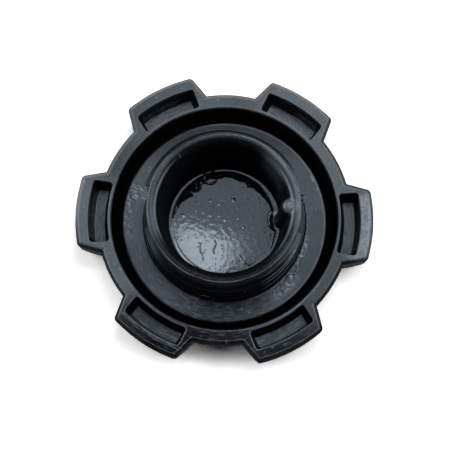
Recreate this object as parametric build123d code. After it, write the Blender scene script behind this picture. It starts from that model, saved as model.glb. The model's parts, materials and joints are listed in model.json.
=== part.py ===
from build123d import *
import os
from math import cos, radians, tan

# Oil filler cap: a moulded cap body with six hollow lugs and a threaded neck, and its sealing gasket.
# Millimetres. The cap lies on its crown with the neck up. +Z is the neck's axis, and the origin is the
# centre of the crown's flat face. The first lug points along +X.

# Neck and thread
thread_diameter = 35.5
thread_depth = 0.95
thread_pitch = 5.0
thread_crest_width = 0.9
thread_flank_angle = 30.0
thread_half_turns = 5
thread_relief_angle = 28.0
thread_embed = 0.4
neck_length = 16.1
lip_outer_rounding = 0.5
lip_inner_rounding = 1.8
neck_wall = 2.6
bore_draft = 5.5
bore_floor_thickness = 2.7
bore_floor_rounding = 0.6

# Rib on the bore's wall
rib_diameter = 3.5
rib_direction = 4.5
rib_sunk = 0.25
rib_below_lip = 0.15
rib_rounding = 1.2

# Collar, seat and gasket
collar_step = 0.45
collar_height = 2.4
collar_rounding = 0.3
gasket_clearance = 0.15
gasket_width = 4.7
gasket_thickness = 2.0
gasket_outer_rounding = 0.4
gasket_edge_rounding = 0.3
seat_overhang = 0.6
seat_height = 0.9

# Rim and crown
groove_width = 2.15
groove_floor_thickness = 1.6
rim_wall = 3.3
rim_above_gasket = 4.9
rim_inner_bevel = 0.25
edge_chamfer = 0.9
wall_draft = 2.5
crown_rounding = 4.5

# Lugs and their pockets
lug_count = 6
lug_reach = 4.8
lug_root_width = 17.8
lug_tip_width = 15.7
lug_corner_rounding = 1.1
pocket_inner_wall = 0.75
pocket_outer_wall = 2.85
pocket_root_side_wall = 1.85
pocket_tip_side_wall = 0.3
pocket_floor_thickness = 3.8
pocket_draft = 10.0
pocket_corner_rounding = 0.8
pocket_floor_corner_rounding = 0.4

# Radii worked out from the neck outwards
crest_radius = thread_diameter / 2
root_radius = crest_radius - thread_depth
collar_radius = crest_radius + collar_step
gasket_inner_radius = collar_radius + gasket_clearance
gasket_outer_radius = gasket_inner_radius + gasket_width
seat_radius = gasket_outer_radius - seat_overhang
rim_inner_radius = gasket_outer_radius + groove_width
rim_outer_radius = rim_inner_radius + rim_wall
lug_outer_radius = rim_outer_radius + lug_reach
bore_mouth_radius = root_radius - neck_wall

# One ridge of the thread runs between two reliefs
ridge_angle = 180 - thread_relief_angle
ridge_rise = thread_pitch * ridge_angle / 360
ridge_crest_half = thread_crest_width / 2
ridge_root_half = ridge_crest_half + thread_depth * tan(radians(thread_flank_angle))

# Heights worked out from the crown's face upwards
seat_z = groove_floor_thickness + seat_height
gasket_top_z = seat_z + gasket_thickness
collar_z = gasket_top_z + collar_height
rim_z = gasket_top_z + rim_above_gasket
lip_z = gasket_top_z + neck_length
bore_floor_radius = bore_mouth_radius - (lip_z - bore_floor_thickness) * tan(radians(bore_draft))


def revolved(corners):
    """Turn a closed outline of (radius, height, rounding) corners about the neck's axis."""
    face = make_face(Polyline(*[(radius, height) for radius, height, _ in corners], close=True))
    for radius, height, rounding in corners:
        if rounding:
            corner = face.vertices().sort_by_distance((radius, height, 0))[0]
            face = fillet(corner, rounding)
    return revolve(Plane.XZ * face, Axis.Z)


def crown_blank(outer_radius):
    """A solid crown: a drafted wall that is rounded into the flat face."""
    foot_radius = outer_radius - rim_z * tan(radians(wall_draft))
    return revolved([(0, 0, 0), (foot_radius, 0, crown_rounding), (outer_radius, rim_z, 0), (0, rim_z, 0)])


def drafted_bar(inner_x, outer_x, root_half, tip_half):
    """A flat bar along +X whose half width goes from root_half at the rim to tip_half at the lug's tip."""
    slope = (tip_half - root_half) / lug_reach
    inner_half = root_half + slope * (inner_x - rim_outer_radius)
    outer_half = root_half + slope * (outer_x - rim_outer_radius)
    return make_face(Polyline(
        (inner_x, -inner_half), (outer_x, -outer_half),
        (outer_x, outer_half), (inner_x, inner_half), close=True))


def lug():
    """One finger lug along +X, from inside the crown out to its rounded tip."""
    inner_x = rim_inner_radius - crown_rounding
    outer_x = lug_outer_radius + edge_chamfer
    plan = drafted_bar(inner_x, outer_x, lug_root_width / 2, lug_tip_width / 2)
    solid = extrude(Pos(0, 0, rim_z) * plan, -rim_z, taper=wall_draft) & crown_blank(lug_outer_radius)
    side_faces = solid.faces().filter_by(GeomType.PLANE).sort_by(Axis.Y)
    side_edges = side_faces[0].edges() + side_faces[-1].edges()
    hidden = [edge for edge in side_edges if edge.center().X < inner_x + edge_chamfer]
    top = [edge for edge in side_edges if edge.center().Z > rim_z - edge_chamfer]
    solid = fillet([edge for edge in side_edges if edge not in hidden + top], lug_corner_rounding)
    top_face = solid.faces().sort_by(Axis.Z)[-1]
    rim_edges = [edge for edge in top_face.edges() if edge.center().X > inner_x + edge_chamfer]
    return chamfer(rim_edges, edge_chamfer)


def pocket_outline(inset, rounding, height):
    """The arc-shaped outline of a pocket along +X, drawn in by inset, at the height given."""
    inner_radius = rim_inner_radius + pocket_inner_wall + inset
    outer_radius = lug_outer_radius - pocket_outer_wall - inset
    root_half = lug_root_width / 2 - pocket_root_side_wall - inset
    tip_half = lug_tip_width / 2 - pocket_tip_side_wall - inset
    bar = drafted_bar(rim_inner_radius - rim_wall, lug_outer_radius, root_half, tip_half)
    ring = Circle(outer_radius) - Circle(inner_radius)
    outline = ring & bar
    return Pos(0, 0, height) * fillet(outline.vertices(), rounding)


def pocket():
    """The cutter for one lug's pocket, with drafted walls. It stands a little out of the mouth."""
    slope = tan(radians(pocket_draft))
    mouth_z = rim_z + edge_chamfer
    mouth = pocket_outline((rim_z - mouth_z) * slope, pocket_corner_rounding, mouth_z)
    floor_inset = (rim_z - pocket_floor_thickness) * slope
    floor = pocket_outline(floor_inset, pocket_floor_corner_rounding, pocket_floor_thickness)
    return loft([floor, mouth], ruled=True)


def around(shape):
    """Copies of a shape at every lug."""
    return [Rot(0, 0, 360 / lug_count * index) * shape for index in range(lug_count)]


def cup():
    """The crown with its rim and hollow lugs, open inside the rim down to the groove's floor."""
    disc = crown_blank(rim_outer_radius)
    disc = chamfer(disc.edges().filter_by(GeomType.CIRCLE).sort_by(Axis.Z)[-1], edge_chamfer)
    clear_z = rim_z + rim_inner_bevel
    inside = revolved([
        (0, groove_floor_thickness, 0),
        (rim_inner_radius, groove_floor_thickness, 0),
        (rim_inner_radius, rim_z - rim_inner_bevel, 0),
        (rim_inner_radius + 2 * rim_inner_bevel, clear_z, 0),
        (0, clear_z, 0)])
    return disc + around(lug()) - inside - around(pocket())


def neck():
    """The seat, the collar and the hollow neck, standing on the crown."""
    base_z = groove_floor_thickness / 2
    return revolved([
        (0, base_z, 0),
        (seat_radius, base_z, 0),
        (seat_radius, seat_z, 0),
        (collar_radius, seat_z, 0),
        (collar_radius, collar_z, collar_rounding),
        (root_radius, collar_z, 0),
        (root_radius, lip_z, lip_outer_rounding),
        (bore_mouth_radius, lip_z, lip_inner_rounding),
        (bore_floor_radius, bore_floor_thickness, bore_floor_rounding),
        (0, bore_floor_thickness, 0)])


def thread_ridge(middle_angle, middle_z):
    """One ridge of the thread, between two reliefs, centred at the angle and height given."""
    foot_radius = root_radius - thread_embed
    section = make_face(Polyline(
        (foot_radius, -ridge_root_half), (root_radius, -ridge_root_half),
        (crest_radius, -ridge_crest_half), (crest_radius, ridge_crest_half),
        (root_radius, ridge_root_half), (foot_radius, ridge_root_half), close=True))
    ridge = sweep(Plane.XZ * section, Helix(thread_pitch, ridge_rise, root_radius), is_frenet=True)
    return Pos(0, 0, middle_z - ridge_rise / 2) * Rot(0, 0, middle_angle - ridge_angle / 2) * ridge


def thread():
    """The ridges, half a turn apart, from the lip down."""
    top_z = lip_z - lip_outer_rounding - ridge_root_half - ridge_rise / 2
    half_turns = range(thread_half_turns)
    return [thread_ridge(90 - 180 * index, top_z - thread_pitch / 2 * index) for index in half_turns]


def bore_rib():
    """The half-round rib that leans along the bore's wall, rounded at its upper end."""
    length = (lip_z - rib_below_lip - bore_floor_thickness) / cos(radians(bore_draft))
    foot = bore_floor_thickness / 2
    rod = Cylinder(rib_diameter / 2, length + foot, align=(Align.CENTER, Align.CENTER, Align.MIN))
    rod = fillet(rod.edges().sort_by(Axis.Z)[-1], rib_rounding)
    leaning = Rot(0, bore_draft, 0) * Pos(0, 0, -foot) * rod
    return Rot(0, 0, rib_direction) * Pos(bore_floor_radius + rib_sunk, 0, bore_floor_thickness) * leaning


def sealing_gasket():
    """The flat rubber ring on the seat, around the collar."""
    return revolved([
        (gasket_inner_radius, seat_z, gasket_edge_rounding),
        (gasket_outer_radius, seat_z, gasket_edge_rounding),
        (gasket_outer_radius, gasket_top_z, gasket_outer_rounding),
        (gasket_inner_radius, gasket_top_z, gasket_edge_rounding)])


cap_body = cup() + neck() + thread() + bore_rib()

os.makedirs("parts", exist_ok=True)
for name, shape in (("cap_body", cap_body), ("sealing_gasket", sealing_gasket())):
    export_step(shape, f"parts/{name}.step")
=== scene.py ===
import json
import math

import bmesh
import bpy
from bpy.props import FloatProperty, FloatVectorProperty, PointerProperty
from bpy.types import Operator, Panel, PropertyGroup
from mathutils import Matrix, Vector, noise

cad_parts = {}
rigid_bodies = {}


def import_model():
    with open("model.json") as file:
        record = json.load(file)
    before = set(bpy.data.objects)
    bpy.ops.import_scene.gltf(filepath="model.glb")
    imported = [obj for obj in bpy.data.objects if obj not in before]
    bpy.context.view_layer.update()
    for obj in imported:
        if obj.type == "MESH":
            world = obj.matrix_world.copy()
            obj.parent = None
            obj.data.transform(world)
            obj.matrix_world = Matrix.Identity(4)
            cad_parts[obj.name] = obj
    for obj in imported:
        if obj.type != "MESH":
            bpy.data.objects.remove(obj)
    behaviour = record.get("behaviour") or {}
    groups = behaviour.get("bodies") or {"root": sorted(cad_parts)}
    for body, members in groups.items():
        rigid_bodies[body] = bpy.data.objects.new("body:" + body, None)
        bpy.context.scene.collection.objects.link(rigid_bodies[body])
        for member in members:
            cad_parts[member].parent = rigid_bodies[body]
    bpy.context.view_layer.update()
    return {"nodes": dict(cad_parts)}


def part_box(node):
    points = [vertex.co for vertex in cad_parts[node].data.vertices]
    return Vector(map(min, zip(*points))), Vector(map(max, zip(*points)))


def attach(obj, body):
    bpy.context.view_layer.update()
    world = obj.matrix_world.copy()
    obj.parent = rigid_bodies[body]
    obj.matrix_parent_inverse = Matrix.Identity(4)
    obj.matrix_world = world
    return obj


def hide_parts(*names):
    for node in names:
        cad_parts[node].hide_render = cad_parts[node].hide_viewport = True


bl_info = {
    "name": "Oil Filler Cap",
    "version": (1, 0, 0),
    "blender": (4, 5, 0),
    "location": "3D View > Sidebar > Oil Cap",
    "description": "Dresses an oil filler cap with its plastic, gasket, oil film, lint and studio",
    "category": "Object",
}

# Blender's own starting objects make way for the frame
for leftover in list(bpy.data.objects):
    bpy.data.objects.remove(leftover)
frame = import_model()

# The frame is in metres, and sizes are written in millimetres times MM.
MM = 0.001
BODY = "root"
cap_body = frame["nodes"]["cap_body"]
gasket_solid = frame["nodes"]["sealing_gasket"]


def first_hit(origin, direction):
    """Where a straight line first meets the cap body."""
    found, place, _, _ = cap_body.ray_cast(Vector(origin), Vector(direction))
    if not found:
        raise RuntimeError(f"nothing of the cap body lies from {origin} along {direction}")
    return place


lip_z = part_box("cap_body")[1].z
gasket_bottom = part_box("sealing_gasket")[0].z
gasket_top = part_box("sealing_gasket")[1].z
gasket_outer_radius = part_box("sealing_gasket")[1].x
gasket_inner_radius = min(vertex.co.xy.length for vertex in gasket_solid.data.vertices)
bore_floor_z = first_hit((0, 0, 2 * lip_z), (0, 0, -1)).z

# The cap body's forms: distances from the neck's axis, half widths, and directions from +X in degrees
BORE_MOUTH = 14.2 * MM
NECK = 16.8 * MM
COLLAR = 18.2 * MM
SEAT = 22.45 * MM
RIM_INNER = 25.2 * MM
RIM_MIDDLE = 26.9 * MM
POCKET_INNER = 25.95 * MM
POCKET_OUTER = 30.45 * MM
POCKET_FLOOR_INNER = 26.95 * MM
POCKET_FLOOR_HALF = 5.95 * MM
LUG_TIP = 33.3 * MM
LUG_HALF = 7.85 * MM
LUG_STEP = 60.0
RIB_DIRECTION = 4.5
RIB_RADIUS = 1.75 * MM
RIB_AT_LIP = 14.45 * MM
rim_z = first_hit((0, RIM_MIDDLE, 2 * lip_z), (0, 0, -1)).z
collar_z = first_hit(((NECK + COLLAR) / -2, 0, 2 * lip_z), (0, 0, -1)).z

# What the finishes share: how far fine bumps stand out, and the colour of the dull shader that stands for old
# oil and for painted shade
BUMP_HEIGHT = 0.05 * MM
OIL_AND_SHADE = (0.002, 0.002, 0.002, 1)


class Value:
    """A socket in an expression: each operation adds one Math node to its tree."""

    def __init__(self, nodes, socket):
        self.nodes = nodes
        self.socket = socket

    def __add__(self, other):
        return self.nodes.math("ADD", self, other)

    def __radd__(self, other):
        return self.nodes.math("ADD", other, self)

    def __sub__(self, other):
        return self.nodes.math("SUBTRACT", self, other)

    def __rsub__(self, other):
        return self.nodes.math("SUBTRACT", other, self)

    def __mul__(self, other):
        return self.nodes.math("MULTIPLY", self, other)

    def __rmul__(self, other):
        return self.nodes.math("MULTIPLY", other, self)

    def __gt__(self, other):
        return self.nodes.math("GREATER_THAN", self, other)


class Nodes:
    """A node tree that is written as Python expressions."""

    def __init__(self, tree):
        self.tree = tree

    def node(self, kind, settings=None, inputs=None, output=0):
        """Add a node, set its settings first and then its sockets, and return one of its outputs."""
        made = self.tree.nodes.new(kind)
        for name, value in (settings or {}).items():
            setattr(made, name, value)
        for key, value in (inputs or {}).items():
            if isinstance(value, Value):
                self.tree.links.new(value.socket, made.inputs[key])
            else:
                made.inputs[key].default_value = value
        return Value(self, made.outputs[output]) if made.outputs else made

    def math(self, operation, first, second=0.0):
        """One Math node."""
        return self.node("ShaderNodeMath", {"operation": operation}, {0: first, 1: second})

    def between(self, value, low, high):
        """0 below low, 1 above high, and smooth between them."""
        settings = {"interpolation_type": "SMOOTHSTEP"}
        return self.node("ShaderNodeMapRange", settings, {"Value": value, "From Min": low, "From Max": high})

    def noise(self, place, scale, detail=2.0, roughness=0.5, distortion=0.0):
        """Cloudy noise from 0 to 1; scale is in bumps per metre."""
        inputs = {"Vector": place, "Scale": scale, "Detail": detail, "Roughness": roughness,
                  "Distortion": distortion}
        return self.node("ShaderNodeTexNoise", None, inputs)

    def mix_colour(self, share, first, second):
        """A colour that goes from the first to the second as share goes from 0 to 1."""
        return self.node("ShaderNodeMix", {"data_type": "RGBA"}, {0: share, 6: first, 7: second}, output=2)

    def parts(self, place):
        """The x, y and z of a vector."""
        made = self.node("ShaderNodeSeparateXYZ", None, {"Vector": place}).socket.node
        return [Value(self, socket) for socket in made.outputs]

    def polar(self, place):
        """Distance from the neck's axis, angle from +X in degrees, and height."""
        x, y, z = self.parts(place)
        radius = self.math("SQRT", x * x + y * y)
        angle = self.math("ARCTAN2", y, x) * (180 / math.pi)
        return radius, angle, z

    def wrapped(self, angle, half):
        """An angle brought between -half and half by whole steps."""
        return self.node("ShaderNodeMath", {"operation": "WRAP"}, {0: angle, 1: half, 2: -half})

    def near_angle(self, angle, middle, half_width, soft):
        """1 within half_width degrees of an angle, falling to 0 over soft degrees more."""
        turned = self.math("ABSOLUTE", self.wrapped(angle - middle, 180.0))
        return 1 - self.between(turned, half_width, half_width + soft)

    def band(self, value, low, high, soft):
        """1 between low and high, falling to 0 over soft on both sides."""
        return self.between(value, low - soft, low) * (1 - self.between(value, high, high + soft))

    def most(self, *values):
        """The largest of several values."""
        largest = values[0]
        for value in values[1:]:
            largest = self.math("MAXIMUM", largest, value)
        return largest

    def away_from(self, x, y, distance, turn):
        """How far x and y lie from a point, given as a distance from the axis and an angle in degrees."""
        across = x - distance * math.cos(math.radians(turn))
        along = y - distance * math.sin(math.radians(turn))
        return self.math("SQRT", across * across + along * along)


class Finish(Nodes):
    """A material that reads Object coordinates."""

    def __init__(self, name):
        self.material = bpy.data.materials.new(name)
        self.material.use_nodes = True
        super().__init__(self.material.node_tree)
        self.tree.nodes.clear()
        self.place = self.node("ShaderNodeTexCoord", output=3)

    def principled(self, **sockets):
        """A Principled shader; words in a socket's name are joined by underscores."""
        inputs = {name.replace("_", " "): value for name, value in sockets.items()}
        return self.node("ShaderNodeBsdfPrincipled", None, inputs)

    def bumped(self, height, strength, **normal):
        """A normal that follows fine bumps."""
        return self.node("ShaderNodeBump", None, {
            "Strength": strength, "Distance": BUMP_HEIGHT, "Height": height, **normal})

    def spots(self, marks):
        """1 on small marks, each a distance from the axis in mm, an angle in degrees and a radius in mm."""
        x, y, _ = self.parts(self.place)
        found = 0.0
        for distance, turn, size in marks:
            away = self.away_from(x, y, distance * MM, turn)
            found = self.math("MAXIMUM", found, 1 - self.between(away, 0.4 * size * MM, size * MM))
        return found

    def coated(self, shader, share):
        """Finish the material with a shader that is dulled by a share of a near-black shader, which stands
        for old oil and for painted shade.
        """
        oil = self.principled(Base_Color=OIL_AND_SHADE, Roughness=0.85, Specular_IOR_Level=0.04)
        return self.close(self.node("ShaderNodeMixShader", None, {0: share, 1: shader, 2: oil}))

    def close(self, shader):
        """Finish the material with a shader."""
        self.node("ShaderNodeOutputMaterial", None, {"Surface": shader})
        return self.material


class Recipe(Nodes):
    """A Geometry Nodes tree with named inputs, turned into a plain mesh by make()."""

    kinds = {float: "NodeSocketFloat", int: "NodeSocketInt"}

    def __init__(self, name, **sizes):
        super().__init__(bpy.data.node_groups.new(name, "GeometryNodeTree"))
        self.sizes = sizes
        self.tree.interface.new_socket("Geometry", in_out="INPUT", socket_type="NodeSocketGeometry")
        self.tree.interface.new_socket("Geometry", in_out="OUTPUT", socket_type="NodeSocketGeometry")
        for size, value in sizes.items():
            self.tree.interface.new_socket(size, in_out="INPUT", socket_type=self.kinds[type(value)])
        self.entry = self.tree.nodes.new("NodeGroupInput")
        self.start = Value(self, self.entry.outputs[0])

    def size(self, name):
        """One of the named inputs."""
        return Value(self, self.entry.outputs[name])

    def raised(self, geometry, height):
        """The geometry, moved up."""
        upwards = self.node("ShaderNodeCombineXYZ", None, {"Z": height})
        return self.node("GeometryNodeSetPosition", None, {"Geometry": geometry, "Offset": upwards})

    def make(self, name, geometry, material, source=None):
        """End the tree, run it on a source mesh or curve, and return a plain mesh object."""
        realized = self.node("GeometryNodeRealizeInstances", None, {0: geometry})
        smooth = self.node("GeometryNodeSetShadeSmooth", None, {0: realized})
        painted = self.node("GeometryNodeSetMaterial", None, {0: smooth, "Material": material})
        self.node("NodeGroupOutput", None, {0: painted})
        carrier = bpy.data.objects.new(name + "_carrier", source or bpy.data.meshes.new(name + "_carrier"))
        bpy.context.scene.collection.objects.link(carrier)
        modifier = carrier.modifiers.new(name, "NODES")
        modifier.node_group = self.tree
        for item in self.tree.interface.items_tree:
            if item.in_out == "INPUT" and item.name in self.sizes:
                modifier[item.identifier] = self.sizes[item.name]
        graph = bpy.context.evaluated_depsgraph_get()
        mesh = bpy.data.meshes.new_from_object(carrier.evaluated_get(graph), depsgraph=graph)
        bpy.data.objects.remove(carrier)
        return place_mesh(name, mesh, material)


def place_mesh(name, mesh, material):
    """A named object at the origin that shows the mesh in one material."""
    mesh.name = name
    mesh.materials.clear()
    mesh.materials.append(material)
    piece = bpy.data.objects.new(name, mesh)
    bpy.context.scene.collection.objects.link(piece)
    return piece


class PlasticSettings(PropertyGroup):
    """The cap body's moulded plastic."""

    colour: FloatVectorProperty(
        name="Colour", description="Colour of the moulded plastic", subtype="COLOR",
        default=(0.003, 0.0031, 0.0034), min=0, max=1)
    # The scuff colour also paints highlights, sheen, lighter places and a reflection
    scuff_and_sheen_colour: FloatVectorProperty(
        name="Scuff colour", description="Colour of rubbed and dusty places", subtype="COLOR",
        default=(0.12, 0.122, 0.128), min=0, max=1)
    # The worn colour also paints highlights along edges, the rim and the thread
    wear_and_highlight_colour: FloatVectorProperty(
        name="Worn colour", description="Colour of worn edges and nicks", subtype="COLOR",
        default=(0.2, 0.204, 0.212), min=0, max=1)
    roughness: FloatProperty(
        name="Roughness", description="Roughness of the moulded faces", subtype="FACTOR",
        default=0.32, min=0, max=1)
    neck_roughness: FloatProperty(
        name="Neck roughness", description="Roughness of the neck and its thread", subtype="FACTOR",
        default=0.28, min=0, max=1)
    edge_radius: FloatProperty(
        name="Edge radius", description="Rounding that the shading gives to sharp edges", unit="LENGTH",
        default=0.24 * MM, min=0)
    wear_width: FloatProperty(
        name="Wear width", description="Width of the worn line along an edge", unit="LENGTH",
        default=0.42 * MM, min=0)
    grain_size: FloatProperty(
        name="Grain size", description="Size of the moulded grain", unit="LENGTH",
        default=0.3 * MM, min=0.01 * MM)


class GasketSettings(PropertyGroup):
    """The rubber sealing gasket."""

    colour: FloatVectorProperty(
        name="Colour", description="Colour of the rubber", subtype="COLOR",
        default=(0.003, 0.0031, 0.0034), min=0, max=1)
    roughness: FloatProperty(
        name="Roughness", description="Roughness of the bare rubber", subtype="FACTOR",
        default=0.36, min=0, max=1)
    wet_roughness: FloatProperty(
        name="Wet roughness", description="Roughness where oil wets the rubber", subtype="FACTOR",
        default=0.17, min=0, max=1)
    outer_rounding: FloatProperty(
        name="Outer rounding", description="Rounding of the upper outer edge", unit="LENGTH",
        default=0.4 * MM, min=0)
    edge_rounding: FloatProperty(
        name="Edge rounding", description="Rounding of the other edges", unit="LENGTH",
        default=0.3 * MM, min=0)
    # The dust colour also paints sheen and highlights
    dust_and_sheen_colour: FloatVectorProperty(
        name="Dust colour", description="Colour of rubbed and dusty places", subtype="COLOR",
        default=(0.125, 0.13, 0.14), min=0, max=1)
    # The drop colour also paints glints along the outer edge
    drop_and_glint_colour: FloatVectorProperty(
        name="Drop colour", description="Colour of the pale drops and crumbs", subtype="COLOR",
        default=(0.26, 0.275, 0.3), min=0, max=1)
    ripple_height: FloatProperty(
        name="Ripple height", description="Height of the wrinkles in the oily patches", unit="LENGTH",
        default=0.17 * MM, min=0)
    snugness: FloatProperty(
        name="Snugness", description="How far the rubber closes on the collar", unit="LENGTH",
        default=0.12 * MM, min=0)


class FilmSettings(PropertyGroup):
    """The oil that lies on the bore's floor."""

    colour: FloatVectorProperty(
        name="Colour", description="Colour of the used oil", subtype="COLOR",
        default=(0.006, 0.0062, 0.0066), min=0, max=1)
    soot_colour: FloatVectorProperty(
        name="Soot colour", description="Colour of the specks in the oil", subtype="COLOR",
        default=(0.012, 0.012, 0.012), min=0, max=1)
    depth: FloatProperty(
        name="Depth", description="Depth of the oil at the middle of the floor", unit="LENGTH",
        default=0.35 * MM, min=0)
    dish: FloatProperty(
        name="Dish", description="How much lower the middle of the oil lies than its edge", unit="LENGTH",
        default=0.77 * MM)
    edge_slope: FloatProperty(
        name="Edge slope", description="How steeply the oil's edge rises to the wall", default=0.075, min=0)
    bulge: FloatProperty(
        name="Bulge", description="How far the oil's edge bulges, as a share of its width",
        default=0.015, min=0)
    ripple: FloatProperty(
        name="Ripple", description="Height of the ripples on the oil", unit="LENGTH",
        default=0.011 * MM, min=0)
    pit_depth: FloatProperty(
        name="Pit depth", description="Depth of a burst bubble's pit, as a share of its radius",
        subtype="FACTOR", default=0.07, min=0, max=1)


class LintSettings(PropertyGroup):
    """Loose fibres."""

    colour: FloatVectorProperty(
        name="Colour", description="Colour of the paler fibres", subtype="COLOR",
        default=(0.22, 0.21, 0.2), min=0, max=1)
    brown: FloatVectorProperty(
        name="Brown", description="Colour of the browner fibres", subtype="COLOR",
        default=(0.16, 0.11, 0.075), min=0, max=1)
    thickness: FloatProperty(
        name="Thickness", description="Diameter of a fibre", unit="LENGTH",
        default=0.07 * MM, min=0.01 * MM)


class StudioSettings(PropertyGroup):
    """Camera, lights and floor."""

    elevation: FloatProperty(
        name="Elevation", description="Camera's height above the horizon", subtype="ANGLE",
        default=math.radians(79))
    azimuth: FloatProperty(
        name="Azimuth", description="Camera's turn about the neck's axis", subtype="ANGLE",
        default=math.radians(6))
    roll: FloatProperty(
        name="Roll", description="Turn of the picture", subtype="ANGLE", default=math.radians(3))
    distance: FloatProperty(
        name="Distance", description="From the camera to the rim", unit="LENGTH", default=340 * MM)
    lens: FloatProperty(
        name="Lens", description="Focal length in millimetres", default=122.2, min=1)
    key_radiance: FloatProperty(
        name="Key", description="Brightness of the softbox behind the cap", default=5.3, min=0)
    core_radiance: FloatProperty(
        name="Core", description="Brightness that the softbox's middle adds", default=2.1, min=0)
    top_radiance: FloatProperty(
        name="Top", description="Brightness of the panel overhead", default=1.85, min=0)
    far_radiance: FloatProperty(
        name="Far", description="Brightness of the panel at the far right", default=5.0, min=0)
    left_radiance: FloatProperty(
        name="Left", description="Brightness of the panel at the left", default=5.8, min=0)
    right_radiance: FloatProperty(
        name="Right", description="Brightness of the panel at the right", default=5.8, min=0)
    room: FloatProperty(name="Room", description="Brightness of the room's walls", default=0.01, min=0)
    light_colour: FloatVectorProperty(
        name="Light colour", description="Colour of the lamps", subtype="COLOR",
        default=(0.74, 0.88, 1.0), min=0, max=1)


class OILCAP_OT_plastic(Operator):
    """Give the cap body its moulded, scuffed and oily black plastic, with painted highlights and painted
    shade
    """

    bl_idname = "oil_cap.plastic"
    bl_label = "Cap body"

    def execute(self, context):
        settings = context.scene.oil_cap_plastic
        cap_body.data.materials.clear()
        cap_body.data.materials.append(PlasticFinish(settings).finished())
        return {"FINISHED"}


# Bright nicks on the lugs and the rim: distance from the axis in mm, angle in degrees, and radius in mm
NICKS = (
    (32.33, 168.2, 0.32), (32.2, 3.0, 0.4), (32.3, 352.6, 0.35), (31.9, 10.5, 0.45), (29.2, 76.2, 0.2),
    (26.9, 256.9, 0.16), (27.3, 258.3, 0.16), (27.7, 259.8, 0.16), (25.3, 322.8, 0.22), (30.9, 293.0, 0.25),
    (31.3, 289.5, 0.2), (28.0, 214.0, 0.18), (31.6, 122.0, 0.2), (27.1, 96.0, 0.2),
)


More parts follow.
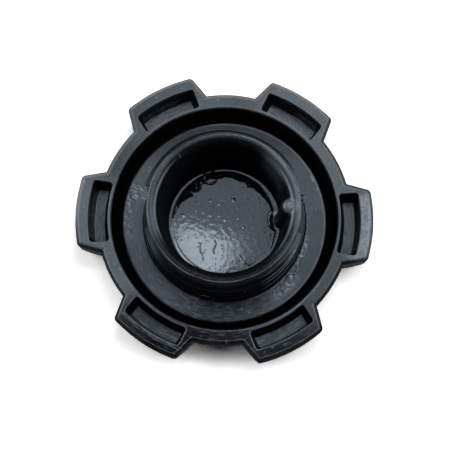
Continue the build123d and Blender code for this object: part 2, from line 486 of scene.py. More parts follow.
class PlasticFinish(Finish):
    """Black nylon: speckled and rubbed on top, oily in the bore, with painted highlights and sheen, and with
    painted shade that dulls the bore, the deep groove, the pockets' corners, the outer faces and the near
    side.
    """

    def __init__(self, settings):
        super().__init__("moulded_plastic")
        self.settings = settings
        self.radius, self.angle, self.height = self.polar(self.place)
        self.x, self.y, _ = self.parts(self.place)
        self.read_surface()
        self.find_neck()
        self.find_bore()
        self.find_lugs()
        self.find_top()

    def from_rim(self, low, high):
        """From 0 to 1 between two heights, in millimetres above the rim's top."""
        return self.between(self.height, rim_z + low * MM, rim_z + high * MM)

    def from_lip(self, low, high):
        """From 0 to 1 between two heights, in millimetres above the neck's lip."""
        return self.between(self.height, lip_z + low * MM, lip_z + high * MM)

    def nearer(self, start, end):
        """From 0 to 1 between two distances along -Y, in millimetres."""
        return self.between(self.y * -1.0, start * MM, end * MM)

    def towards(self, middle, half_width, soft):
        """1 round a direction from the neck's axis, in degrees."""
        return self.near_angle(self.angle, middle, half_width, soft)

    def brushed(self, across, along, up, detail, roughness):
        """Noise drawn out round the neck: bumps per metre across, per degree along and per metre up."""
        around = self.node("ShaderNodeCombineXYZ", None, {
            "X": self.radius * across, "Y": self.angle * along, "Z": self.height * up})
        return self.noise(around, 1.0, detail, roughness)

    def read_surface(self):
        """The edges, and the grain and marks that run all over the moulding."""
        settings = self.settings
        self.rounded = self.node("ShaderNodeBevel", {"samples": 6}, {"Radius": settings.edge_radius})
        flat = self.node("ShaderNodeNewGeometry", output=1)
        wide = self.node("ShaderNodeBevel", {"samples": 6}, {"Radius": settings.wear_width})
        facing = self.node("ShaderNodeVectorMath", {"operation": "DOT_PRODUCT"}, {0: wide, 1: flat}, output=1)
        self.edge = self.between(1 - facing, 0.02, 0.09)
        self.grain = self.noise(self.place, 1 / settings.grain_size, 3.0, 0.65)
        self.speckle = self.noise(self.place, 0.5 / settings.grain_size, 2.0, 0.6)
        self.cloud = self.noise(self.place, 160.0, 4.0, 0.6)
        self.streak = self.brushed(4200.0, 0.35, 300.0, 3.0, 0.55)
        self.stroke = self.brushed(2600.0, 0.22, 200.0, 2.0, 0.6)

    def find_neck(self):
        """The lip, the thread and the collar."""
        self.on_neck = 1 - self.between(self.radius, COLLAR, COLLAR + 0.1 * MM)
        self.on_lip = self.from_lip(-1.7, -1.0)
        # A painted highlight: a thin pale line round the lip's outer edge
        self.lip_highlight = self.on_lip * self.band(self.radius, NECK - 0.55 * MM, NECK - 0.4 * MM, 0.15 * MM)
        # Directions for the neck's painted light and shade: the near side darker, the lip lighter at the left
        # and right, the thread darker at the left
        self.near_lip = self.towards(262.0, 38.0, 30.0)
        self.left_lip = self.towards(172.0, 22.0, 20.0)
        self.right_lip = self.towards(22.0, 24.0, 22.0)
        on_thread = self.on_neck * self.between(self.radius, NECK - 0.4 * MM, NECK - 0.1 * MM)
        self.on_thread = on_thread * (1 - self.from_lip(-0.8, 0.0))
        # A painted glint along the thread's edges at the near right
        self.thread_glint = self.on_thread * self.edge * self.towards(320.0, 12.0, 12.0)
        # The collar's top, which takes painted light at the left
        on_collar = self.band(self.radius, NECK, COLLAR, 0.1 * MM)
        self.on_collar = on_collar * self.band(self.height, gasket_top, collar_z, 0.3 * MM)

    def find_bore(self):
        """The bore's wall and the rib that stands on it."""
        from_rib = self.away_from(self.x, self.y, RIB_AT_LIP, RIB_DIRECTION)
        on_rib = 1 - self.between(from_rib, RIB_RADIUS - 0.15 * MM, RIB_RADIUS + 0.1 * MM)
        self.on_rib = on_rib * self.from_lip(-3.0, -2.5)
        # The rib's top end is paler: partly dust, partly a painted highlight on its upward face
        self.rib_end = self.on_rib * self.from_lip(-1.3, -0.5)
        # The bore wall takes the dull shader as old oil and painted shade; the rib keeps more of its shine
        in_bore = 1 - self.between(self.radius, BORE_MOUTH + 0.2 * MM, BORE_MOUTH + 0.9 * MM)
        in_bore = in_bore * (1 - self.towards(RIB_DIRECTION, 7.0, 1.5) * 0.6)
        self.in_bore = in_bore * (1 - self.on_rib * 0.9)
        # Painted shade: the bore wall darker at the left
        self.left_wall = self.towards(195.0, 50.0, 20.0)
        high_wall = self.between(self.height, bore_floor_z + 4 * MM, lip_z - 5 * MM)
        # A painted reflection: a paler band high on the bore wall at the far right
        self.wall_reflection = self.towards(42.0, 5.0, 18.0) * high_wall

    def find_lugs(self):
        """The groove, and the lugs' pockets and outer faces."""
        # Painted shade: the deep groove darkened nearly to black
        in_groove = self.band(self.radius, SEAT, RIM_INNER + 0.03 * MM, 0.07 * MM)
        self.in_groove = in_groove * (1 - self.from_rim(-0.55, -0.25))
        past_rim = self.between(self.radius, POCKET_INNER - 0.4 * MM, POCKET_INNER)
        self.in_pocket = past_rim * (1 - self.from_rim(-3.5, -2.5))
        lug_angle = self.wrapped(self.angle, LUG_STEP / 2) * (math.pi / 180)
        beside = self.radius * self.math("ABSOLUTE", self.math("SINE", lug_angle))
        # Painted shade: dark strips along the pocket floors' inner edge and sides
        pocket_corner_shade = self.most(
            1 - self.between(self.radius, POCKET_FLOOR_INNER, POCKET_FLOOR_INNER + 0.25 * MM),
            self.between(beside, POCKET_FLOOR_HALF - 0.15 * MM, POCKET_FLOOR_HALF))
        self.pocket_corner_shade = pocket_corner_shade * past_rim * (1 - self.from_rim(-0.9, -0.5))
        # Painted shade: the lugs' outer faces, darkened below the chamfer
        outer_faces = past_rim * self.most(
            self.between(beside, LUG_HALF - 0.35 * MM, LUG_HALF - 0.05 * MM),
            self.between(self.radius, LUG_TIP - 2.1 * MM, LUG_TIP - 1.5 * MM))
        self.walls = outer_faces * (1 - self.from_rim(-1.2, -0.9))
        # Painted shade: the outer faces and chamfers on the near side and at the right darkened
        shaded_sides = self.most(self.nearer(-2, 9), self.towards(14.0, 28.0, 12.0) * 0.8)
        self.shaded_chamfers = shaded_sides * outer_faces * (1 - self.from_rim(-0.35, -0.15))
        near_pocket = self.nearer(8, 16)
        rubbed = self.between(self.stroke, 0.28 + near_pocket * 0.17, 0.8 - near_pocket * 0.12)
        self.rubbed = rubbed * self.in_pocket

    def find_top(self):
        """Places on top of the rim and the lugs: worn and flecked ones, painted highlights and sheen, and the
        near side that takes a painted shadow.
        """
        self.on_top = self.from_rim(-1.2, -0.6) * (1 - self.on_neck)
        # The near side of the top: it takes a painted shadow, rubbed streaks and stronger edge highlights
        self.near_side = self.nearer(15, 29) * self.on_top
        self.near_strokes = self.between(self.stroke, 0.5, 0.68)
        # The right lug's top: scratches, and a painted highlight that lightens it
        right_lug_wear_and_highlight = self.between(self.radius, RIM_MIDDLE + 0.1 * MM, LUG_TIP - 1.3 * MM)
        self.right_lug_wear_and_highlight = right_lug_wear_and_highlight * self.towards(358.0, 12.0, 4.0) * self.on_top
        # Painted sheen: lighter patches on the top, strongest at the left
        dusty = self.towards(194.0, 22.0, 14.0) + self.towards(44.0, 26.0, 12.0) * 0.35
        self.dusty = (dusty + self.towards(118.0, 20.0, 12.0) * 0.2) * self.on_top
        self.flecks = self.between(self.speckle, 0.56, 0.7) * self.on_top
        # A streaky pale line outside the lower left lug's pocket: partly rubbed, partly a painted highlight
        pocket_edge_rub_and_highlight = self.band(self.radius, POCKET_OUTER + 0.25 * MM, POCKET_OUTER + 0.65 * MM, 0.3 * MM)
        pocket_edge_rub_and_highlight = pocket_edge_rub_and_highlight * self.towards(243.0, 14.0, 6.0) * self.on_top
        self.pocket_edge_rub_and_highlight = pocket_edge_rub_and_highlight * self.between(self.stroke, 0.3, 0.65)
        # A painted highlight along the rim's inner edge, strongest at the near right
        rim_edge_highlight = self.band(self.radius, RIM_INNER + 0.15 * MM, RIM_INNER + 0.5 * MM, 0.12 * MM)
        rim_edge_highlight = rim_edge_highlight * (0.12 + self.towards(303.0, 18.0, 14.0) * 0.35) * self.on_top
        self.rim_edge_highlight = rim_edge_highlight * (0.5 + self.cloud)
        # Edges on top lighter: partly wear, partly a painted highlight
        self.edge_wear_and_highlight = self.edge * self.from_rim(-0.4, -0.2) * (1 - self.on_neck)

    def scuff(self):
        """How far the paler colour shows: on rubbed pockets, flecks and streaks, and as painted highlights,
        sheen, lighter places and a reflection.
        """
        rubs = self.most(
            self.flecks * 0.3, self.rubbed * 0.8, self.pocket_edge_rub_and_highlight * 0.35, self.rib_end * 0.75,
            self.near_strokes * self.near_side * 0.35,
            self.lip_highlight * self.between(self.cloud, 0.3, 0.7) * 0.5,
            self.on_collar * self.left_lip * 0.3,
            self.on_lip * self.right_lip * (0.1 + self.streak * 0.4),
            self.right_lug_wear_and_highlight * (0.6 + self.between(self.stroke + self.speckle, 0.8, 1.2)))
        dust = self.dusty * (0.4 + self.cloud * 0.35 + self.flecks * 0.2)
        return rubs + dust + self.wall_reflection * self.in_bore * 0.28

    def worn(self):
        """How far the lightest colour shows: on nicks and worn edges, and as painted highlights along edges,
        the rim's inner edge, the thread and the right lug.
        """
        return self.most(
            self.rim_edge_highlight, self.thread_glint,
            self.edge_wear_and_highlight * (0.25 + self.cloud * 0.6 + self.near_side * 0.5),
            self.right_lug_wear_and_highlight * self.between(self.stroke + self.speckle, 0.7, 1.25) * 0.75,
            self.on_top * self.spots(NICKS))

    def grime_and_shade(self):
        """How far the dull shader covers a place: old oil, and painted shade in the groove, the bore, the
        pockets' corners, the outer faces, the thread, the lip and the near side.
        """
        # Old oil and painted shade in the bore, darker at the left and lighter at the painted reflection
        bore = self.in_bore * (0.88 + self.left_wall * 0.1 - self.wall_reflection * 0.65)
        # Painted shade on the lip, streaky, darker on the near side and lighter at the left and right
        lip = 0.35 + self.streak * 0.4 + self.near_lip * 0.3 - self.left_lip * 0.45 - self.right_lip * 0.4
        lip = lip * self.on_lip * (1 - self.lip_highlight) * (1 - self.on_rib)
        # Painted shade on the thread, darker on the near side and at the left
        thread = 0.55 + self.near_lip * 0.35 + self.left_lip * 0.28
        thread = thread * (self.on_thread - self.thread_glint)
        # Painted shadow of the neck on the near side of the top, broken by rubbed streaks
        near_top = self.near_side * (0.75 + self.cloud * 0.4 - self.near_strokes * 0.4)
        near_top = near_top * (1 - self.edge_wear_and_highlight) * (1 - self.pocket_edge_rub_and_highlight)
        near_top = near_top * (1 - self.towards(300.0, 14.0, 8.0) * 0.15)
        # The right lug's pocket a little darker
        right_pocket = self.in_pocket * self.towards(0.0, 12.0, 4.0)
        return self.most(
            self.in_groove, self.pocket_corner_shade * 0.92, self.walls * 0.9, self.shaded_chamfers * 0.88, self.rib_end * 0.15,
            right_pocket * 0.2, bore, lip, thread, near_top)

    def finished(self):
        """The material: plastic under old oil and painted shade."""
        settings = self.settings
        colour = self.mix_colour(self.scuff(), (*settings.colour, 1), (*settings.scuff_and_sheen_colour, 1))
        colour = self.mix_colour(self.worn(), colour, (*settings.wear_and_highlight_colour, 1))
        rough = settings.roughness + (self.cloud - 0.5) * 0.16
        rough = rough + (self.speckle - 0.5) * (1 - self.on_neck * 0.7) * 0.2
        rough = rough + self.on_neck * (settings.neck_roughness - settings.roughness) - self.rubbed * 0.06
        relief = (self.grain + self.speckle * 0.6) * (1 - self.on_neck * 0.85)
        relief = relief + self.stroke * self.in_pocket * 1.2 + self.streak * self.on_lip * 0.2
        normal = self.bumped(relief, 0.55, Normal=self.rounded)
        plastic = self.principled(Base_Color=colour, Roughness=rough, Normal=normal)
        return self.coated(plastic, self.grime_and_shade())


class OILCAP_OT_gasket(Operator):
    """Build the rubber gasket with its oily wrinkles, in place of the plain ring"""

    bl_idname = "oil_cap.gasket"
    bl_label = "Sealing gasket"

    def execute(self, context):
        settings = context.scene.oil_cap_gasket
        gasket = build_gasket(settings, gasket_finish(settings))
        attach(gasket, BODY)
        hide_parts("sealing_gasket")
        return {"FINISHED"}


def wrinkled(nodes, radius, angle):
    """1 in the two oily, wrinkled patches of the gasket's upper face."""
    inner, outer = gasket_inner_radius, gasket_outer_radius
    outwards = nodes.between(radius, inner + 0.45 * MM, outer - 0.85 * MM)
    left = nodes.near_angle(angle, 163.5, 1.5, 4.5) * 0.8
    left = left + nodes.near_angle(angle, 176.0, 10.0, 14.0) * outwards
    right = 1 - nodes.between(radius, inner + 2.05 * MM, outer - 0.85 * MM)
    right = right * nodes.near_angle(angle, 316.0, 5.0, 9.0)
    beaded = 1 - nodes.between(radius, inner + 0.55 * MM, inner + 1.85 * MM)
    beaded = beaded * nodes.near_angle(angle, 330.0, 16.0, 10.0)
    return nodes.math("MINIMUM", left + right + beaded, 1.0)


def ripples(nodes, radius, angle):
    """Small waves from 0 to 1, across the gasket's upper face at the left and along it at the right."""
    right = nodes.near_angle(angle, 325.0, 35.0, 20.0)
    around = nodes.node("ShaderNodeCombineXYZ", None, {
        "X": radius * (950.0 + right * 1250.0), "Y": angle * (0.75 - right * 0.37), "Z": 0.0})
    return nodes.noise(around, 1.0, 1.7, 0.5, 0.6)


# The gasket's swept outline: the corner that becomes the upper outer edge, and the step between its points
UPPER_OUTER_CORNER = 3
OUTLINE_STEP = 0.16 * MM

# The ripple, from 0 to 1, that lies level with the gasket's upper face
LEVEL_RIPPLE = 0.72


def build_gasket(settings, material):
    """A rounded ring swept round the neck, wrinkled in the oily patches."""
    recipe = Recipe(
        "gasket_ring",
        Inner_Radius=gasket_inner_radius - settings.snugness, Outer_Radius=gasket_outer_radius,
        Bottom=gasket_bottom, Top=gasket_top,
        Outer_Rounding=settings.outer_rounding, Edge_Rounding=settings.edge_rounding,
        Ripple_Height=settings.ripple_height, Segments=900)
    inner, outer = recipe.size("Inner_Radius"), recipe.size("Outer_Radius")
    bottom, top = recipe.size("Bottom"), recipe.size("Top")
    path = recipe.node("GeometryNodeCurvePrimitiveCircle", None, {
        "Resolution": recipe.size("Segments"), "Radius": (inner + outer) * 0.5})
    outline = recipe.node("GeometryNodeCurvePrimitiveQuadrilateral", None, {
        "Width": outer - inner, "Height": top - bottom})
    corner = recipe.node("GeometryNodeInputIndex")
    is_outer_top = recipe.math("COMPARE", corner, UPPER_OUTER_CORNER)
    rounding = recipe.size("Edge_Rounding") + is_outer_top * (
        recipe.size("Outer_Rounding") - recipe.size("Edge_Rounding"))
    rounded = recipe.node("GeometryNodeFilletCurve", {"mode": "POLY"}, {
        "Curve": outline, "Count": 6, "Radius": rounding})
    fine = recipe.node("GeometryNodeResampleCurve", {"mode": "LENGTH"}, {
        "Curve": rounded, "Length": OUTLINE_STEP})
    ring = recipe.node("GeometryNodeCurveToMesh", None, {"Curve": path, "Profile Curve": fine})
    lifted = recipe.raised(ring, (bottom + top) * 0.5)
    radius, angle, height = recipe.polar(recipe.node("GeometryNodeInputPosition"))
    flat_top = recipe.between(height, top - 0.02 * MM, top - 0.01 * MM)
    waves = (ripples(recipe, radius, angle) - LEVEL_RIPPLE) * flat_top * wrinkled(recipe, radius, angle)
    rippled = recipe.raised(lifted, waves * recipe.size("Ripple_Height"))
    return recipe.make("gasket_ring", rippled, material)


# Drops of oil and crumbs on the gasket: distance from the axis in mm, angle in degrees, and radius in mm
DROPS = (
    (22.3, 28.5, 0.5), (22.35, 30.5, 0.4), (22.2, 22.5, 0.3), (22.3, 12.0, 0.25), (21.16, 146.2, 0.28),
    (20.95, 148.5, 0.2), (19.6, 158.1, 0.25), (19.2, 20.0, 0.2), (19.1, 6.0, 0.18), (20.0, 12.0, 0.22),
    (20.9, 11.0, 0.2), (22.4, 350.0, 0.22), (20.3, 284.0, 0.25), (21.4, 288.0, 0.25), (19.5, 33.0, 0.2),
)


def gasket_finish(settings):
    """Black rubber with a satin sheen, wet in its wrinkled patches and rubbed in rings, with painted
    highlights and sheen, and painted shadows at its far and near sides.
    """
    finish = Finish("gasket_rubber")
    radius, angle, _ = finish.polar(finish.place)
    inner, outer = gasket_inner_radius, gasket_outer_radius
    around = finish.node("ShaderNodeCombineXYZ", None, {"X": radius * 5200.0, "Y": angle * 0.16, "Z": 0.0})
    rings = finish.noise(around, 1.0, 3.0, 0.6)
    speckle = finish.noise(finish.place, 2300.0, 2.0, 0.6)
    cloud = finish.noise(finish.place, 210.0, 3.0, 0.6)
    wet = wrinkled(finish, radius, angle)

    rubbed = finish.near_angle(angle, 222.0, 22.0, 22.0) + finish.near_angle(angle, 285.0, 20.0, 20.0) * 0.4
    rubbed = finish.between(rings, 0.42, 0.64) * (0.12 + rubbed * 0.88)
    # A painted highlight along the upper outer edge, strongest at the right
    outer_highlight = finish.near_angle(angle, 28.0, 60.0, 40.0) * (0.3 + cloud * 0.9)
    outer_highlight = outer_highlight + finish.near_angle(angle, 28.5, 2.0, 6.0)
    outer_highlight = outer_highlight * finish.band(radius, outer - 0.55 * MM, outer - 0.25 * MM, 0.12 * MM)
    # Pale specks along the inner edge at the right: partly dust, partly a painted highlight
    inner_dust_and_highlight = finish.near_angle(angle, 342.0, 46.0, 20.0) * finish.between(speckle, 0.4, 0.6)
    inner_dust_and_highlight = inner_dust_and_highlight * finish.band(radius, inner + 0.15 * MM, inner + 0.4 * MM, 0.12 * MM)
    # Painted sheen on the gasket's left
    left_sheen = finish.near_angle(angle, 198.0, 45.0, 25.0) * (0.25 + cloud * 0.4)
    dust = finish.between(speckle, 0.66, 0.76)
    # Painted sheen on the wrinkled patches, strongest on the wrinkles' crests
    crest_sheen = wet * (0.25 + finish.between(ripples(finish, radius, angle), 0.38, 0.74) * 0.6)
    # Dust and rubs, with the painted sheen and highlights
    pale = finish.most(dust * 0.3, rubbed, left_sheen, outer_highlight * 1.5 + inner_dust_and_highlight) + crest_sheen
    # Pale drops and crumbs, and painted glints along the outer edge
    drops = finish.most(finish.spots(DROPS), outer_highlight * finish.between(speckle, 0.45, 0.65) * 0.5)

    colour = finish.mix_colour(pale, (*settings.colour, 1), (*settings.dust_and_sheen_colour, 1))
    colour = finish.mix_colour(drops * 0.8, colour, (*settings.drop_and_glint_colour, 1))
    rough = settings.roughness + (cloud - 0.5) * 0.14 + (speckle - 0.5) * 0.1 - rubbed * 0.05
    rough = rough + wet * (settings.wet_roughness - settings.roughness)
    normal = finish.bumped(rings + speckle * 0.5, 0.2)
    rubber = finish.principled(Base_Color=colour, Roughness=rough, Normal=normal)
    # Painted shadows: the far side under the rim, and the near side beside the neck
    far_shadow = finish.near_angle(angle, 92.0, 26.0, 34.0) * (0.36 + cloud * 0.32)
    near_shadow = finish.near_angle(angle, 268.0, 16.0, 22.0) * (1 - rubbed) * (0.2 + cloud * 0.5)
    return finish.coated(rubber, finish.most(far_shadow, near_shadow))


class OILCAP_OT_oil_film(Operator):
    """Pour the film of used oil on the bore's floor"""

    bl_idname = "oil_cap.oil_film"
    bl_label = "Oil film"

    def execute(self, context):
        settings = context.scene.oil_cap_film
        film = build_film(settings, oil_finish(settings))
        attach(film, BODY)
        return {"FINISHED"}


# The oil's edge along the wall, the steep bank inside it, and how high the bank lifts the edge: angle from +X
# in degrees, and millimetres
EDGE_WIDTH = (
    (0, 0.9), (20, 1.1), (40, 0.85), (57, 0.6), (90, 0.42), (115, 0.4), (150, 0.65), (190, 0.75), (225, 0.6),
    (270, 0.4), (330, 0.5), (350, 0.8), (360, 0.9))
BANK_WIDTH = (
    (0, 0.4), (20, 0.5), (40, 1.1), (57, 1.7), (75, 1.4), (90, 1.25), (100, 1.6), (110, 1.3), (120, 1.6),
    (130, 2.5), (140, 2.0), (150, 1.8), (160, 1.1), (175, 0.5), (190, 0.2), (215, 0.1), (325, 0.1),
    (345, 0.3), (360, 0.4))
BANK_RISE = (
    (0, 0.12), (20, 0.15), (40, 0.27), (57, 0.36), (100, 0.34), (133, 0.52), (165, 0.25), (190, 0.05),
    (215, 0.0), (325, 0.0), (345, 0.08), (360, 0.12))

# The oil stops this far from the wall at the far side, and falls away there with this slope
FAR_GAP = 0.45 * MM
FAR_SLOPE = 0.8

# How far from the neck's axis the oil's dish rises, and where it has risen by its full height
DISH_REACH = 12.2 * MM
DISH_FULL = 12.0 * MM

# The oil's ripples: the size of the wide and the fine ones, and how far from the bank they reach full height
WIDE_RIPPLE = 1.15 * MM
FINE_RIPPLE = 0.55 * MM
RIPPLE_MARGIN = 0.6 * MM

# The rim of a bubble at the oil's far edge: place from the neck's axis, radius, width and height
BUBBLE = Vector((-3.8, 10.2, 0)) * MM
BUBBLE_RADIUS = 1.4 * MM
BUBBLE_WIDTH = 0.18 * MM
BUBBLE_RISE = 0.09 * MM

# The bank's foot is softened over this share of its width, inwards and outwards
BANK_FOOT = 0.1


def smooth_step(share):
    """From 0 to 1 with soft ends."""
    share = min(max(share, 0), 1)
    return share * share * (3 - 2 * share)


def width_at(table, heading):
    """A width in metres, read from a table at a heading from the neck's axis."""
    angle = math.degrees(math.atan2(heading.y, heading.x)) % 360
    for (start, first), (end, last) in zip(table, table[1:]):
        if angle <= end:
            return (first + (last - first) * smooth_step((angle - start) / (end - start))) * MM
    raise ValueError("the table must reach 360 degrees")


def bank_profile(share):
    """From 1 at the bank's top to 0 at its foot, steep all the way and softened at the foot."""
    if share > 1 + BANK_FOOT:
        return 0
    if share > 1 - BANK_FOOT:
        return (1 + BANK_FOOT - share) ** 2 / (4 * BANK_FOOT)
    return 1 - share


def film_height(settings, x, y, gap):
    """Height of the oil above the bore's floor, gap metres from the wall or the rib."""
    place = Vector((x, y, 0))
    heading = place.normalized() if place.length > 0 else Vector((1, 0, 0))
    edge = width_at(EDGE_WIDTH, heading)
    torn = 1 + 0.25 * noise.noise(heading * 9) + 0.2 * noise.noise(heading * 27)
    bank = width_at(BANK_WIDTH, heading) * torn
    gap -= FAR_GAP * max(heading.y, 0) ** 2
    inside = max(gap - edge, 0)
    height = settings.depth + settings.dish * (min(place.length, DISH_REACH - edge) / DISH_FULL) ** 2
    height += width_at(BANK_RISE, heading) * bank_profile(inside / bank)
    from_bubble = (place - BUBBLE).length - BUBBLE_RADIUS
    height += BUBBLE_RISE * math.exp(-(from_bubble / BUBBLE_WIDTH) ** 2) * smooth_step(gap / edge)
    across = min(max(gap, 0) / edge, 1)
    height += edge * (settings.edge_slope * (1 - across) + settings.bulge * 4 * across * (1 - across))
    height += min(gap, 0) * FAR_SLOPE
    past_bank = smooth_step((inside - bank) / RIPPLE_MARGIN)
    hammered = noise.noise(place / WIDE_RIPPLE) + 0.5 * noise.noise(place / FINE_RIPPLE + Vector((7, 3, 1)))
    height += settings.ripple * hammered * past_bank
    return height - drip_depth(place) - pit_depth(settings, place)


# Pits that burst bubbles left in the oil: place from the neck's axis and radius, in millimetres
PITS = (
    (-3.46, 4.96, 0.42), (1.88, 5.35, 0.62), (-1.08, 5.32, 0.34), (-1.48, 4.25, 0.36), (-9.39, 1.17, 0.5),
    (-3.27, 1.6, 0.48), (-1.34, 1.58, 0.34), (0.19, 0.74, 0.56), (3.12, 1.23, 0.42), (4.36, -0.79, 0.42),
    (-6.6, 2.5, 0.36), (-5.0, 2.1, 0.3), (-4.4, 6.9, 0.26), (2.9, 3.6, 0.28), (-6.0, 4.4, 0.26),
    (9.06, -1.81, 0.3), (10.3, -2.42, 0.34),
)


def pit_depth(settings, place):
    """How deep a pit lies below the oil round it."""
    depth = 0
    for x, y, radius in PITS:
        share = ((place.x - x * MM) ** 2 + (place.y - y * MM) ** 2) / (radius * MM) ** 2
        if share < 1:
            depth += settings.pit_depth * radius * MM * (1 - share) ** 2
    return depth


# Courses of the drips that broke the film, in millimetres from the neck's axis, and their depth and width
DRIPS = (
    ((-5.06, -5.08), (-5.3, -5.9), (-5.07, -6.92), (-4.6, -7.6), (-4.4, -8.72)),
    ((-2.04, -4.23), (-1.7, -4.9), (-1.85, -5.6), (-2.2, -6.4), (-2.0, -7.11)),
    ((3.68, -7.39), (4.1, -7.8), (4.41, -8.5), (5.3, -9.1), (6.39, -9.54)),
)
DRIP_DEPTH = 0.035 * MM
DRIP_WIDTH = 0.13 * MM


def drip_depth(place):
    """How deep a drip's course lies below the oil round it."""
    nearest = min(
        distance_to_line(place, Vector((*start, 0)) * MM, Vector((*end, 0)) * MM)
        for course in DRIPS for start, end in zip(course, course[1:]))
    return DRIP_DEPTH * math.exp(-(nearest / DRIP_WIDTH) ** 2)


def distance_to_line(place, start, end):
    """From a place to the straight line between two ends."""
    along = end - start
    share = min(max((place - start).dot(along) / along.length_squared, 0), 1)
    return (place - start - along * share).length


def build_film(settings, material):
    """A dished sheet of oil that meets the wall and the rib all round, closed below."""
    turns = 600
    rings = 140
    crowding = 0.85
    sunk = 0.1 * MM
    top_z = bore_floor_z + settings.depth + settings.dish + 0.5 * MM
    wall = -first_hit((0, 0, top_z), (-1, 0, 0)).x
    rib_turn = math.radians(RIB_DIRECTION)
    rib_heading = Vector((math.cos(rib_turn), math.sin(rib_turn), 0))
    rib = rib_heading * (first_hit((0, 0, top_z), rib_heading).xy.length + RIB_RADIUS)
    shape = bmesh.new()
    rows = []
    for turn in range(turns):
        angle = 2 * math.pi * turn / turns
        heading = Vector((math.cos(angle), math.sin(angle), 0))
        row = []
        for ring in range(1, rings + 1):
            place = heading * wall * (ring / rings) ** crowding
            gap = min(wall - place.length, (place - rib).length - RIB_RADIUS)
            place.z = bore_floor_z + film_height(settings, place.x, place.y, gap)
            row.append(shape.verts.new(place))
        row.append(shape.verts.new((*(heading.xy * (wall + sunk)), bore_floor_z - sunk)))
        rows.append(row)
    middle = shape.verts.new((0, 0, bore_floor_z + film_height(settings, 0, 0, wall)))
    below = shape.verts.new((0, 0, bore_floor_z - sunk))
    for row, following in zip(rows, rows[1:] + rows[:1]):
        shape.faces.new((middle, row[0], following[0]))
        for ring in range(rings):
            shape.faces.new((row[ring], row[ring + 1], following[ring + 1], following[ring]))
        shape.faces.new((below, following[-1], row[-1]))
    for face in shape.faces:
        face.smooth = True
    mesh = bpy.data.meshes.new("oil_film")
    shape.to_mesh(mesh)
    shape.free()
    return place_mesh("oil_film", mesh, material)


def oil_finish(settings):
    """Used oil: nearly black, glossy, with soot and tiny pits in it."""
    finish = Finish("used_oil")
    soot = finish.noise(finish.place, 900.0, 3.0, 0.6)
    cloud = finish.noise(finish.place, 180.0, 2.0, 0.5)
    sooty = finish.between(soot, 0.62, 0.75)
    colour = finish.mix_colour(sooty, (*settings.colour, 1), (*settings.soot_colour, 1))
    rough = 0.1 + finish.between(soot, 0.55, 0.75) * 0.08 + finish.between(cloud, 0.45, 0.7) * 0.04
    cells = finish.node("ShaderNodeTexVoronoi", {"voronoi_dimensions": "2D"}, {
        "Vector": finish.place, "Scale": 750.0}).socket.node
    chosen = finish.parts(Value(finish, cells.outputs["Color"]))[0] > 0.66
    specks = (1 - finish.between(Value(finish, cells.outputs["Distance"]), 0.04, 0.15)) * chosen
    normal = finish.bumped(specks * -1.0, 0.5)
    return finish.close(finish.principled(Base_Color=colour, Roughness=rough, Normal=normal, IOR=1.56))


class OILCAP_OT_lint(Operator):
    """Lay the loose fibres on the cap"""

    bl_idname = "oil_cap.lint"
    bl_label = "Lint"

    def execute(self, context):
        settings = context.scene.oil_cap_lint
        lint = build_lint(settings, lint_finish(settings))
        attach(lint, BODY)
        return {"FINISHED"}


# Loose fibres: distance from the neck's axis in mm, angle from +X in degrees and height in mm
FIBRES = (
    ((20.57, 253.6, 4.56), (19.7, 253.2, 4.6), (18.88, 254.0, 4.58), (18.25, 255.0, 5.9),
     (17.95, 256.5, 6.96), (17.8, 259.5, 7.0), (17.68, 262.3, 6.96)),
    ((18.45, 240.8, 4.56), (19.0, 242.2, 4.6), (19.66, 244.6, 4.56)),
    ((15.76, 132.0, 20.56), (15.1, 132.8, 20.44), (14.44, 133.0, 20.0)),
    ((25.12, 55.7, 5.3), (25.06, 54.6, 4.7), (25.12, 53.6, 4.0)),
    ((27.42, 274.3, 9.44), (27.9, 274.2, 9.4), (28.36, 273.4, 7.9)),
    ((17.62, 288.0, 11.3), (17.5, 288.3, 11.5), (17.66, 288.7, 11.7)),
    ((24.6, 276.9, 1.64), (24.45, 277.3, 1.7), (24.4, 277.6, 1.63)),
    ((24.35, 271.8, 1.63), (24.4, 272.2, 1.7), (24.5, 272.6, 1.64)),
    ((27.75, 265.8, 9.43), (27.6, 266.1, 9.46), (27.5, 266.4, 9.43)),
    ((24.1, 105.2, 1.64), (24.2, 105.6, 1.7), (24.3, 106.0, 1.64)),
)


def build_lint(settings, material):
    """Fine fibres swept along their paths."""
    curve = bpy.data.curves.new("fibre_paths", "CURVE")
    curve.dimensions = "3D"
    for path in FIBRES:
        spline = curve.splines.new("POLY")
        spline.points.add(len(path) - 1)
        for point, (radius, angle, height) in zip(spline.points, path):
            turn = math.radians(angle)
            point.co = (radius * math.cos(turn) * MM, radius * math.sin(turn) * MM, height * MM, 1)
    recipe = Recipe("lint", Thickness=settings.thickness, Sides=8)
    smooth = recipe.node("GeometryNodeCurveSplineType", {"spline_type": "CATMULL_ROM"}, {
        "Curve": recipe.start})
    fine = recipe.node("GeometryNodeResampleCurve", None, {"Curve": smooth, "Count": 24})
    section = recipe.node("GeometryNodeCurvePrimitiveCircle", None, {
        "Resolution": recipe.size("Sides"), "Radius": recipe.size("Thickness") * 0.5})
    swept = recipe.node("GeometryNodeCurveToMesh", None, {
        "Curve": fine, "Profile Curve": section, "Fill Caps": True})
    return recipe.make("lint", swept, material, curve)


def lint_finish(settings):
    """Pale fibres, browner in places."""
    finish = Finish("lint")
    shade = finish.noise(finish.place, 120.0, 1.0, 0.5)
    brown = finish.between(shade, 0.4, 0.6)
    colour = finish.mix_colour(brown, (*settings.colour, 1), (*settings.brown, 1))
    return finish.close(finish.principled(Base_Color=colour, Roughness=0.6))


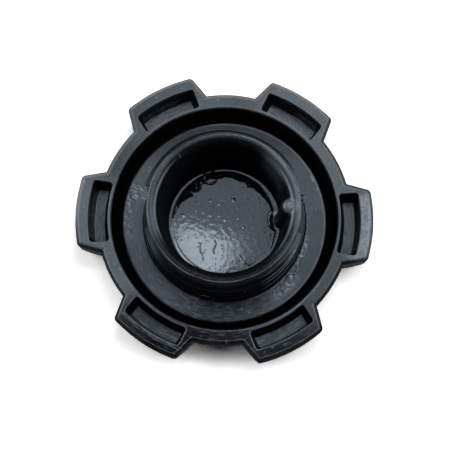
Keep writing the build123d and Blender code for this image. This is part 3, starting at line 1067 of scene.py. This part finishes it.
class OILCAP_OT_studio(Operator):
    """Set the white floor, the soft lights and the camera"""

    bl_idname = "oil_cap.studio"
    bl_label = "Studio"

    def execute(self, context):
        settings = context.scene.oil_cap_studio
        context.scene.view_settings.view_transform = "Standard"
        lay_floor()
        light_room(settings)
        for name, (direction, tilt, sides) in PANELS.items():
            radiance = getattr(settings, name + "_radiance")
            hang_panel(name + "_panel", radiance, direction, tilt, sides, settings.light_colour)
        aim_camera(settings)
        return {"FINISHED"}


# Soft lights: direction from +X and tilt from overhead in degrees, and the two sides in metres
PANELS = {
    "key": (77.0, 28.0, (0.22, 0.517)),
    "far": (35.0, 28.0, (0.28, 0.28)),
    "core": (86.0, 19.0, (0.24, 0.16)),
    "top": (90.0, 10.0, (0.46, 0.43)),
    "left": (168.0, 60.0, (1.1, 0.6)),
    "right": (10.0, 60.0, (1.1, 0.6)),
}

# The floor's colour as it lights the cap, and as it is seen: white under the cool lamps
FLOOR_LIT = (0.8, 0.8, 0.8, 1)
FLOOR_SEEN = (1.8, 1.53, 1.34, 1)

# How far right of and below the neck's axis the camera looks
LOOK_RIGHT = 0.18 * MM
LOOK_DOWN = 1.7 * MM


def lay_floor():
    """A white floor that keeps the cap's shadow."""
    shape = bmesh.new()
    bmesh.ops.create_grid(shape, x_segments=1, y_segments=1, size=3.0)
    mesh = bpy.data.meshes.new("floor")
    shape.to_mesh(mesh)
    shape.free()
    finish = Finish("white_floor")
    ray = finish.node("ShaderNodeLightPath").socket.node
    kinds = ("Is Camera Ray", "Is Glossy Ray", "Is Transmission Ray")
    seen = finish.most(*[Value(finish, ray.outputs[kind]) for kind in kinds])
    colour = finish.mix_colour(seen, FLOOR_LIT, FLOOR_SEEN)
    surface = finish.node("ShaderNodeBsdfDiffuse", None, {"Color": colour})
    floor = place_mesh("floor", mesh, finish.close(surface))


def light_room(settings):
    """Even, faint light from the walls."""
    world = bpy.data.worlds.new("room")
    bpy.context.scene.world = world
    world.use_nodes = True
    nodes = Nodes(world.node_tree)
    nodes.tree.nodes.clear()
    background = nodes.node("ShaderNodeBackground", None, {"Color": (1, 1, 1, 1), "Strength": settings.room})
    nodes.node("ShaderNodeOutputWorld", None, {"Surface": background})


def hang_panel(name, radiance, direction, tilt, sides, colour):
    """A soft rectangular light that faces the cap, tilt degrees from overhead towards a direction."""
    lamp = bpy.data.lights.new(name, "AREA")
    lamp.shape = "RECTANGLE"
    lamp.color = colour
    lean, turn = math.radians(tilt), math.radians(direction)
    aim = Vector((math.cos(turn) * math.sin(lean), math.sin(turn) * math.sin(lean), math.cos(lean)))
    lamp.size, lamp.size_y = sides
    lamp.energy = radiance * math.pi * sides[0] * sides[1]
    holder = bpy.data.objects.new(name, lamp)
    holder.location = Vector((0, 0, rim_z)) + aim
    holder.rotation_euler = (lean, 0, turn + math.pi / 2)
    bpy.context.scene.collection.objects.link(holder)


def aim_camera(settings):
    """Look down steeply on the cap."""
    rise, turn, roll = settings.elevation, settings.azimuth, settings.roll
    back = Vector((math.sin(turn) * math.cos(rise), -math.cos(turn) * math.cos(rise), math.sin(rise)))
    level = Vector((math.cos(turn), math.sin(turn), 0))
    upright = back.cross(level)
    right = level * math.cos(roll) - upright * math.sin(roll)
    up = level * math.sin(roll) + upright * math.cos(roll)
    target = Vector((0, 0, rim_z)) + right * LOOK_RIGHT - up * LOOK_DOWN
    lens = bpy.data.cameras.new("camera")
    lens.sensor_width = 36.0
    lens.lens = settings.lens
    lens.clip_start = 10 * MM
    camera = bpy.data.objects.new("camera", lens)
    turned = Matrix((right, up, back)).transposed().to_4x4()
    camera.matrix_world = Matrix.Translation(target + back * settings.distance) @ turned
    bpy.context.scene.collection.objects.link(camera)
    bpy.context.scene.camera = camera


OPERATORS = (
    OILCAP_OT_plastic, OILCAP_OT_gasket, OILCAP_OT_oil_film, OILCAP_OT_lint, OILCAP_OT_studio)
GROUPS = {
    "oil_cap_plastic": PlasticSettings,
    "oil_cap_gasket": GasketSettings,
    "oil_cap_film": FilmSettings,
    "oil_cap_lint": LintSettings,
    "oil_cap_studio": StudioSettings,
}


class OILCAP_PT_sidebar(Panel):
    """The steps that dress the cap, with their settings"""

    bl_idname = "OILCAP_PT_sidebar"
    bl_label = "Oil Filler Cap"
    bl_space_type = "VIEW_3D"
    bl_region_type = "UI"
    bl_category = "Oil Cap"

    def draw(self, context):
        for operator in OPERATORS:
            self.layout.operator(operator.bl_idname)
        for name, group in GROUPS.items():
            box = self.layout.box()
            for prop in group.__annotations__:
                box.prop(getattr(context.scene, name), prop)


def register():
    """Add the settings, the steps and the sidebar."""
    for group in GROUPS.values():
        bpy.utils.register_class(group)
    for name, group in GROUPS.items():
        setattr(bpy.types.Scene, name, PointerProperty(type=group))
    for made in (*OPERATORS, OILCAP_PT_sidebar):
        bpy.utils.register_class(made)


def unregister():
    """Take away what register() added."""
    for made in (OILCAP_PT_sidebar, *reversed(OPERATORS)):
        bpy.utils.unregister_class(made)
    for name, group in GROUPS.items():
        delattr(bpy.types.Scene, name)
        bpy.utils.unregister_class(group)


def main():
    """Register the add-on and run its steps in order."""
    register()
    bpy.ops.oil_cap.plastic()
    bpy.ops.oil_cap.gasket()
    bpy.ops.oil_cap.oil_film()
    bpy.ops.oil_cap.lint()
    bpy.ops.oil_cap.studio()


if __name__ == "__main__":
    main()
